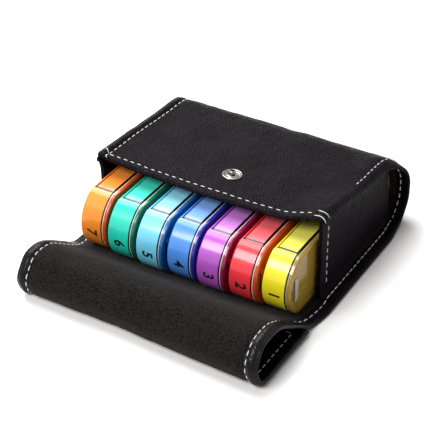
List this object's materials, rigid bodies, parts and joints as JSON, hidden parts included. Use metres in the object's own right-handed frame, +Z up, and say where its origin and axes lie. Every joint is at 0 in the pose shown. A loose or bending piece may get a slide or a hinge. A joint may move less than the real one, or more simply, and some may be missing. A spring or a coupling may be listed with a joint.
{
  "type": "weekly pill box",
  "caption": "Row of coloured day boxes with flip lids and press buttons, held in an open soft leather case with a fold-over flap and snap.",
  "frame": {"origin": "on the table, under the middle of the row of boxes", "axes": "+X along the row to its right end, +Y away from the flap, +Z up"},
  "size_m": [0.155, 0.1832, 0.0523],
  "materials": {
    "leather": "fine grained, soft sheen",
    "lining": "short napped",
    "snap_metal": "satin",
    "day_1_plastic": "glossy",
    "day_1_clear": "translucent",
    "day_2_plastic": "glossy",
    "day_2_clear": "translucent",
    "day_3_plastic": "glossy",
    "day_3_clear": "translucent",
    "day_4_plastic": "glossy",
    "day_4_clear": "translucent",
    "day_5_plastic": "glossy",
    "day_5_clear": "translucent",
    "day_6_plastic": "glossy",
    "day_6_clear": "translucent",
    "day_7_plastic": "glossy",
    "day_7_clear": "translucent"
  },
  "bodies": {
    "case": {"case_leather": "leather", "case_lining": "lining", "left_gusset": "leather", "right_gusset": "leather", "snap_stud": "snap_metal", "snap_stud_post": "snap_metal"},
    "day_1_box": {"day_1_tray": "day_1_plastic", "day_1_side_cover": "day_1_clear"},
    "day_1_front_lid": {"day_1_front_lid": "day_1_clear"},
    "day_1_rear_lids": {"day_1_rear_lids": "day_1_clear"},
    "day_1_front_button": {"day_1_front_button": "day_1_plastic"},
    "day_1_rear_buttons": {"day_1_rear_buttons": "day_1_plastic"},
    "day_2_box": {"day_2_tray": "day_2_plastic", "day_2_side_cover": "day_2_clear"},
    "day_2_front_lid": {"day_2_front_lid": "day_2_clear"},
    "day_2_rear_lids": {"day_2_rear_lids": "day_2_clear"},
    "day_2_front_button": {"day_2_front_button": "day_2_plastic"},
    "day_2_rear_buttons": {"day_2_rear_buttons": "day_2_plastic"},
    "day_3_box": {"day_3_tray": "day_3_plastic", "day_3_side_cover": "day_3_clear"},
    "day_3_front_lid": {"day_3_front_lid": "day_3_clear"},
    "day_3_rear_lids": {"day_3_rear_lids": "day_3_clear"},
    "day_3_front_button": {"day_3_front_button": "day_3_plastic"},
    "day_3_rear_buttons": {"day_3_rear_buttons": "day_3_plastic"},
    "day_4_box": {"day_4_tray": "day_4_plastic", "day_4_side_cover": "day_4_clear"},
    "day_4_front_lid": {"day_4_front_lid": "day_4_clear"},
    "day_4_rear_lids": {"day_4_rear_lids": "day_4_clear"},
    "day_4_front_button": {"day_4_front_button": "day_4_plastic"},
    "day_4_rear_buttons": {"day_4_rear_buttons": "day_4_plastic"},
    "day_5_box": {"day_5_tray": "day_5_plastic", "day_5_side_cover": "day_5_clear"},
    "day_5_front_lid": {"day_5_front_lid": "day_5_clear"},
    "day_5_rear_lids": {"day_5_rear_lids": "day_5_clear"},
    "day_5_front_button": {"day_5_front_button": "day_5_plastic"},
    "day_5_rear_buttons": {"day_5_rear_buttons": "day_5_plastic"},
    "day_6_box": {"day_6_tray": "day_6_plastic", "day_6_side_cover": "day_6_clear"},
    "day_6_front_lid": {"day_6_front_lid": "day_6_clear"},
    "day_6_rear_lids": {"day_6_rear_lids": "day_6_clear"},
    "day_6_front_button": {"day_6_front_button": "day_6_plastic"},
    "day_6_rear_buttons": {"day_6_rear_buttons": "day_6_plastic"},
    "day_7_box": {"day_7_tray": "day_7_plastic", "day_7_side_cover": "day_7_clear"},
    "day_7_front_lid": {"day_7_front_lid": "day_7_clear"},
    "day_7_rear_lids": {"day_7_rear_lids": "day_7_clear"},
    "day_7_front_button": {"day_7_front_button": "day_7_plastic"},
    "day_7_rear_buttons": {"day_7_rear_buttons": "day_7_plastic"},
    "flap_1": {"flap_1_leather": "leather", "flap_1_lining": "lining"},
    "flap_2": {"flap_2_leather": "leather", "flap_2_lining": "lining"},
    "flap_3": {"flap_3_leather": "leather", "flap_3_lining": "lining"},
    "flap_4": {"flap_4_leather": "leather", "flap_4_lining": "lining"},
    "flap_5": {"flap_5_leather": "leather", "flap_5_lining": "lining", "snap_socket": "snap_metal", "snap_cap": "snap_metal"}
  },
  "joints": [
    {"name": "day_1_slide", "type": "slide", "parent": "case", "child": "day_1_box", "axis": [0, 1, 0], "range_m": [-0.002, 0.003]},
    {"name": "day_1_front_lid_hinge", "type": "hinge", "parent": "day_1_box", "child": "day_1_front_lid", "pos_m": [0.0526, 0.0019, 0.0386], "axis": [0, 1, 0], "range_deg": [-38, 0]},
    {"name": "day_1_rear_lids_hinge", "type": "hinge", "parent": "day_1_box", "child": "day_1_rear_lids", "pos_m": [0.0526, 0.0019, 0.0386], "axis": [0, 1, 0], "range_deg": [-10, 0]},
    {"name": "day_1_front_button_press", "type": "slide", "parent": "day_1_box", "child": "day_1_front_button", "axis": [1, 0, 0], "range_m": [-0.0008, 0], "stiffness_N_per_m": 300},
    {"name": "day_1_rear_buttons_press", "type": "slide", "parent": "day_1_box", "child": "day_1_rear_buttons", "axis": [1, 0, 0], "range_m": [-0.0008, 0], "stiffness_N_per_m": 300},
    {"name": "day_2_slide", "type": "slide", "parent": "case", "child": "day_2_box", "axis": [0, 1, 0], "range_m": [-0.002, 0.003]},
    {"name": "day_2_front_lid_hinge", "type": "hinge", "parent": "day_2_box", "child": "day_2_front_lid", "pos_m": [0.0331, 0.0001, 0.0386], "axis": [0, 1, 0], "range_deg": [-38, 0]},
    {"name": "day_2_rear_lids_hinge", "type": "hinge", "parent": "day_2_box", "child": "day_2_rear_lids", "pos_m": [0.0331, 0.0001, 0.0386], "axis": [0, 1, 0], "range_deg": [-10, 0]},
    {"name": "day_2_front_button_press", "type": "slide", "parent": "day_2_box", "child": "day_2_front_button", "axis": [1, 0, 0], "range_m": [-0.0008, 0], "stiffness_N_per_m": 300},
    {"name": "day_2_rear_buttons_press", "type": "slide", "parent": "day_2_box", "child": "day_2_rear_buttons", "axis": [1, 0, 0], "range_m": [-0.0008, 0], "stiffness_N_per_m": 300},
    {"name": "day_3_slide", "type": "slide", "parent": "case", "child": "day_3_box", "axis": [0, 1, 0], "range_m": [-0.002, 0.003]},
    {"name": "day_3_front_lid_hinge", "type": "hinge", "parent": "day_3_box", "child": "day_3_front_lid", "pos_m": [0.0136, -0.0009, 0.0386], "axis": [0, 1, 0], "range_deg": [-38, 0]},
    {"name": "day_3_rear_lids_hinge", "type": "hinge", "parent": "day_3_box", "child": "day_3_rear_lids", "pos_m": [0.0136, -0.0009, 0.0386], "axis": [0, 1, 0], "range_deg": [-10, 0]},
    {"name": "day_3_front_button_press", "type": "slide", "parent": "day_3_box", "child": "day_3_front_button", "axis": [1, 0, 0], "range_m": [-0.0008, 0], "stiffness_N_per_m": 300},
    {"name": "day_3_rear_buttons_press", "type": "slide", "parent": "day_3_box", "child": "day_3_rear_buttons", "axis": [1, 0, 0], "range_m": [-0.0008, 0], "stiffness_N_per_m": 300},
    {"name": "day_4_slide", "type": "slide", "parent": "case", "child": "day_4_box", "axis": [0, 1, 0], "range_m": [-0.002, 0.003]},
    {"name": "day_4_front_lid_hinge", "type": "hinge", "parent": "day_4_box", "child": "day_4_front_lid", "pos_m": [-0.0059, 0.0002, 0.0386], "axis": [0, 1, 0], "range_deg": [-38, 0]},
    {"name": "day_4_rear_lids_hinge", "type": "hinge", "parent": "day_4_box", "child": "day_4_rear_lids", "pos_m": [-0.0059, 0.0002, 0.0386], "axis": [0, 1, 0], "range_deg": [-10, 0]},
    {"name": "day_4_front_button_press", "type": "slide", "parent": "day_4_box", "child": "day_4_front_button", "axis": [1, 0, 0], "range_m": [-0.0008, 0], "stiffness_N_per_m": 300},
    {"name": "day_4_rear_buttons_press", "type": "slide", "parent": "day_4_box", "child": "day_4_rear_buttons", "axis": [1, 0, 0], "range_m": [-0.0008, 0], "stiffness_N_per_m": 300},
    {"name": "day_5_slide", "type": "slide", "parent": "case", "child": "day_5_box", "axis": [0, 1, 0], "range_m": [-0.002, 0.003]},
    {"name": "day_5_front_lid_hinge", "type": "hinge", "parent": "day_5_box", "child": "day_5_front_lid", "pos_m": [-0.0254, -0.0011, 0.0386], "axis": [0, 1, 0], "range_deg": [-38, 0]},
    {"name": "day_5_rear_lids_hinge", "type": "hinge", "parent": "day_5_box", "child": "day_5_rear_lids", "pos_m": [-0.0254, -0.0011, 0.0386], "axis": [0, 1, 0], "range_deg": [-10, 0]},
    {"name": "day_5_front_button_press", "type": "slide", "parent": "day_5_box", "child": "day_5_front_button", "axis": [1, 0, 0], "range_m": [-0.0008, 0], "stiffness_N_per_m": 300},
    {"name": "day_5_rear_buttons_press", "type": "slide", "parent": "day_5_box", "child": "day_5_rear_buttons", "axis": [1, 0, 0], "range_m": [-0.0008, 0], "stiffness_N_per_m": 300},
    {"name": "day_6_slide", "type": "slide", "parent": "case", "child": "day_6_box", "axis": [0, 1, 0], "range_m": [-0.002, 0.003]},
    {"name": "day_6_front_lid_hinge", "type": "hinge", "parent": "day_6_box", "child": "day_6_front_lid", "pos_m": [-0.0449, 0.0001, 0.0386], "axis": [0, 1, 0], "range_deg": [-38, 0]},
    {"name": "day_6_rear_lids_hinge", "type": "hinge", "parent": "day_6_box", "child": "day_6_rear_lids", "pos_m": [-0.0449, 0.0001, 0.0386], "axis": [0, 1, 0], "range_deg": [-10, 0]},
    {"name": "day_6_front_button_press", "type": "slide", "parent": "day_6_box", "child": "day_6_front_button", "axis": [1, 0, 0], "range_m": [-0.0008, 0], "stiffness_N_per_m": 300},
    {"name": "day_6_rear_buttons_press", "type": "slide", "parent": "day_6_box", "child": "day_6_rear_buttons", "axis": [1, 0, 0], "range_m": [-0.0008, 0], "stiffness_N_per_m": 300},
    {"name": "day_7_slide", "type": "slide", "parent": "case", "child": "day_7_box", "axis": [0, 1, 0], "range_m": [-0.002, 0.003]},
    {"name": "day_7_front_lid_hinge", "type": "hinge", "parent": "day_7_box", "child": "day_7_front_lid", "pos_m": [-0.0644, 0.0018, 0.0386], "axis": [0, 1, 0], "range_deg": [-38, 0]},
    {"name": "day_7_rear_lids_hinge", "type": "hinge", "parent": "day_7_box", "child": "day_7_rear_lids", "pos_m": [-0.0644, 0.0018, 0.0386], "axis": [0, 1, 0], "range_deg": [-10, 0]},
    {"name": "day_7_front_button_press", "type": "slide", "parent": "day_7_box", "child": "day_7_front_button", "axis": [1, 0, 0], "range_m": [-0.0008, 0], "stiffness_N_per_m": 300},
    {"name": "day_7_rear_buttons_press", "type": "slide", "parent": "day_7_box", "child": "day_7_rear_buttons", "axis": [1, 0, 0], "range_m": [-0.0008, 0], "stiffness_N_per_m": 300},
    {"name": "flap_fold_1", "type": "hinge", "parent": "case", "child": "flap_1", "pos_m": [0, -0.0658, 0.00863], "axis": [-1, 0, 0], "range_deg": [0, 57.45]},
    {"name": "flap_fold_2", "type": "hinge", "parent": "flap_1", "child": "flap_2", "pos_m": [0, -0.0893, 0.024], "axis": [-1, 0, 0], "range_deg": [0, 59.09]},
    {"name": "flap_fold_3", "type": "hinge", "parent": "flap_2", "child": "flap_3", "pos_m": [0, -0.1028, 0.024], "axis": [-1, 0, 0], "range_deg": [0, 79.23]},
    {"name": "flap_fold_4", "type": "hinge", "parent": "flap_3", "child": "flap_4", "pos_m": [0, -0.1113, 0.01296], "axis": [-1, 0, 0], "range_deg": [0, 90.49]},
    {"name": "flap_fold_5", "type": "hinge", "parent": "flap_4", "child": "flap_5", "pos_m": [0, -0.1073, 0.0011], "axis": [-1, 0, 0], "range_deg": [0, 77.69]}
  ],
  "couplings": [
    {"joint": "flap_fold_2", "follows": "flap_fold_1", "ratio": 1.0284},
    {"joint": "flap_fold_3", "follows": "flap_fold_1", "ratio": 1.3789},
    {"joint": "flap_fold_4", "follows": "flap_fold_1", "ratio": 1.5749},
    {"joint": "flap_fold_5", "follows": "flap_fold_1", "ratio": 1.3521}
  ]
}
